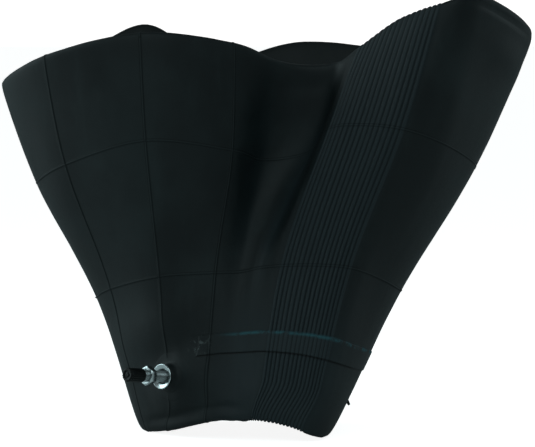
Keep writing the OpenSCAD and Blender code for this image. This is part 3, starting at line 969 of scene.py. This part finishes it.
def cap_outline(angle):
    """The cap's section, with grip flutes round its side and its end."""
    wave = 0.5 + 0.5 * math.cos(FLUTES * angle)
    dip = 0.34 * wave**3
    notch = 0.5 * wave**2
    return rounded([
        (BORE_R, CAP_ROOF - 3), (BORE_R, CAP_LOW + 0.3), (4.15, CAP_LOW), (4.55, CAP_LOW),
        (CAP_R, CAP_LOW + 0.35),
        (CAP_R, CAP_LOW + 1.3), (CAP_R - dip, CAP_LOW + 2.0), (CAP_R - dip, CAP_TOP - 2.9),
        (CAP_R, CAP_TOP - 2.5), (CAP_R, CAP_TOP - 2.0), (CAP_R - 0.35, CAP_TOP - 1.75),
        (CAP_R - dip, CAP_TOP - 1.5), (CAP_R - notch, CAP_TOP - 0.55),
        (CAP_R - 0.55 - notch * 0.6, CAP_TOP), (3.0, CAP_TOP),
        (2.75, CAP_TOP - 0.75), (1.7, CAP_TOP - 0.8), (1.45, CAP_TOP - 0.25), (0.001, CAP_TOP - 0.2),
        (0.001, CAP_ROOF), (3.6, CAP_ROOF), (BORE_R, CAP_ROOF - 0.3), (BORE_R, CAP_ROOF - 3),
    ], 0.2, 3)


cap = turned("screw_cap", cap_outline, FLUTES * 12)
finish_piece(cap, "cap", "dust_cap", cap_plastic)

COIL_LOW = STEM_TOP - 13.3
COIL_HIGH = STEM_TOP - 7.1
COIL_R = 0.98
WIRE_R = 0.14
WIRE_SIDES = 10
COIL_TURNS = 7
POINTS_A_COIL = 24


def add_coil():
    """The core's coil spring, which shortens towards the barrel's floor as the pin is pressed."""
    along = np.linspace(0, 1, COIL_TURNS * POINTS_A_COIL + 1)[None, :]
    side = np.linspace(0, 2 * math.pi, WIRE_SIDES, endpoint=False)[:, None]
    away = COIL_R + WIRE_R * np.cos(side)
    turned_by = 2 * math.pi * COIL_TURNS * along
    low, high = COIL_LOW + WIRE_R, COIL_HIGH - WIRE_R
    level = low + (high - low) * along + WIRE_R * np.sin(side)
    points = np.stack([away * np.cos(turned_by), away * np.sin(turned_by), level], -1)
    mesh = grid_mesh("coil_spring", points, False, {})
    mesh.transform(valve_frame)
    piece = add_object("coil_spring", mesh)
    tidy_normals(mesh)
    finish_piece(piece, "tube", "core_spring", steel)
    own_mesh(piece)


add_coil()

# The pieces that are shown as the frame carries them
for node, finish in {
    "cap_seal": seal_rubber, "core_swivel": brass, "core_barrel": brass, "barrel_gasket": gasket_red,
    "core_pin": brass, "pin_head": brass, "seat_cup": brass, "seat_seal": foot_butyl, "spring_seat": brass,
}.items():
    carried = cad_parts[node]
    carried.data.materials.clear()
    carried.data.materials.append(finish)


# ------------------------------------------------------------------ vent nubs
NUB_SUNK = 0.3 * MM
# Turn, up and size of each
NUBS = [
    (3.0, 0.004, 1), (0.02, 0.335, 1), (9.9, 0.334, 1), (10.35, 0.072, 3), (12.45, 0.335, 1),
    (14.6, 0.665, 1), (16.5, 0.335, 1), (13.5, 0.335, 1), (11.5, 0.665, 1), (15.7, 0.004, 1),
    (12.45, 0.996, 1), (2.0, 0.985, 1),
]


def nub_tree():
    """Geometry Nodes that stand a small flash nub on every point, along its outward direction."""
    tree = bpy.data.node_groups.new("vent_nubs", "GeometryNodeTree")
    tree.interface.new_socket("Geometry", in_out="INPUT", socket_type="NodeSocketGeometry")
    for label, default in (("Nub radius", 0.5 * MM), ("Nub height", 1.3 * MM)):
        socket = tree.interface.new_socket(label, in_out="INPUT", socket_type="NodeSocketFloat")
        socket.default_value = default
    tree.interface.new_socket("Material", in_out="INPUT", socket_type="NodeSocketMaterial")
    tree.interface.new_socket("Geometry", in_out="OUTPUT", socket_type="NodeSocketGeometry")
    graph = Graph(tree)
    given = tree.nodes.new("NodeGroupInput")
    radius, height = Value(graph, given.outputs["Nub radius"]), Value(graph, given.outputs["Nub height"])
    cone = graph.node(
        "GeometryNodeMeshCone", {},
        {"Vertices": 12, "Radius Top": radius * 0.55, "Radius Bottom": radius, "Depth": height},
    )
    outward = graph.stored("outward", "FLOAT_VECTOR")
    heading = graph.node("FunctionNodeAlignRotationToVector", {"axis": "Z"}, {"Vector": outward})
    size = graph.stored("size")
    points = Value(graph, given.outputs["Geometry"])
    nubs = graph.node(
        "GeometryNodeInstanceOnPoints", {},
        {"Points": points, "Instance": cone, "Rotation": heading, "Scale": size},
    )
    whole = graph.node("GeometryNodeRealizeInstances", {}, {"Geometry": nubs})
    coating = Value(graph, given.outputs["Material"])
    coated = graph.node("GeometryNodeSetMaterial", {}, {"Geometry": whole, "Material": coating})
    graph.node("NodeGroupOutput", {}, {0: coated})
    return tree


def add_nubs():
    turn = np.array([[n[0] for n in NUBS]])
    up = np.array([[n[1] for n in NUBS]])
    points, marks = marked_skin(turn, np.arccos(1 - 2 * up), np.full(turn.shape, -NUB_SUNK))
    mesh = bpy.data.meshes.new("vent_nubs")
    mesh.from_pydata(points.reshape(-1, 3).tolist(), [], [])
    store(mesh, "outward", marks["outward"])
    store(mesh, "size", np.array([n[2] for n in NUBS]))
    piece = add_object("vent_nubs", mesh)
    shaped_by(nub_tree(), piece, material=foot_butyl)
    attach(piece, "tube")


add_nubs()


# ------------------------------------------------------------------ stage
FLOOR_REACH = 20
FLOOR_GAP = 0.5 * MM
# The paper's own glow, which only the camera sees
PAPER_GLOW = 0.9
SOFTBOX_TINT = (0.76, 0.97, 1.0)
SKY_TINT = (0.80, 0.97, 1.0, 1)
# The sky's light in front of the object, and how much more comes from behind it
SKY_IN_FRONT = 0.075
SKY_GAIN = 0.065
WHITE = (1.0, 1.0, 1.0, 1)


def add_floor():
    mesh = bpy.data.meshes.new("floor")
    reach = FLOOR_REACH
    corners = [(-reach, -reach, 0), (reach, -reach, 0), (reach, reach, 0), (-reach, reach, 0)]
    mesh.from_pydata(corners, [], [(0, 1, 2, 3)])
    floor = add_object("floor", mesh)
    floor.location.z = -FLOOR_GAP
    paper = bpy.data.materials.new("pale_paper")
    paper.use_nodes = True
    graph = Graph(paper.node_tree)
    seen = graph.node("ShaderNodeLightPath", out="Is Camera Ray")
    white = graph.node("ShaderNodeBsdfDiffuse", {}, {"Color": (0.80, 0.83, 0.83, 1)})
    glow = graph.node("ShaderNodeEmission", {}, {"Color": WHITE, "Strength": seen * PAPER_GLOW})
    both = graph.node("ShaderNodeAddShader", {}, {0: white, 1: glow})
    graph.node("ShaderNodeOutputMaterial", {}, {"Surface": both})
    mesh.materials.append(paper)


def add_softbox(name, place, target, width, height, power):
    """A lamp with a rectangular face, at a place and turned to a target."""
    data = bpy.data.lights.new(name, "AREA")
    data.shape = "RECTANGLE"
    data.size, data.size_y = width, height
    data.energy = power
    data.color = SOFTBOX_TINT
    lamp = bpy.data.objects.new(name, data)
    lamp.location = place
    lamp.rotation_euler = (Vector(target) - Vector(place)).to_track_quat("-Z", "Y").to_euler()
    bpy.context.scene.collection.objects.link(lamp)


def add_world():
    """White to the camera. As a light it is weak all round, and weakest in front of the object."""
    world = bpy.data.worlds.new("studio")
    bpy.context.scene.world = world
    world.use_nodes = True
    graph = Graph(world.node_tree)
    seen = graph.node("ShaderNodeLightPath", out="Is Camera Ray")
    towards = graph.node("ShaderNodeTexCoord", out="Generated")
    split = graph.node("ShaderNodeSeparateXYZ", {}, {"Vector": towards}, out="Y")
    around = SKY_IN_FRONT + SKY_GAIN * split.rises(-0.75, 0.1)
    tint = graph.blend(seen, SKY_TINT, WHITE)
    sky = graph.node("ShaderNodeBackground", {}, {"Color": tint, "Strength": around + seen})
    graph.node("ShaderNodeOutputWorld", {}, {"Surface": sky})


add_floor()
add_world()
add_softbox("left_softbox", (-1.35, 0.25, 0.55), (-0.05, 0, 0.15), width=0.8, height=1.2, power=6.3)
add_softbox("right_softbox", (1.35, 0.35, 0.55), (0.05, 0, 0.15), width=0.8, height=1.2, power=2.6)
add_softbox("front_softbox", (-0.25, -1.50, 1.30), (0, 0, 0.15), width=2.0, height=1.2, power=7.6)
bpy.context.scene.view_settings.view_transform = "Standard"
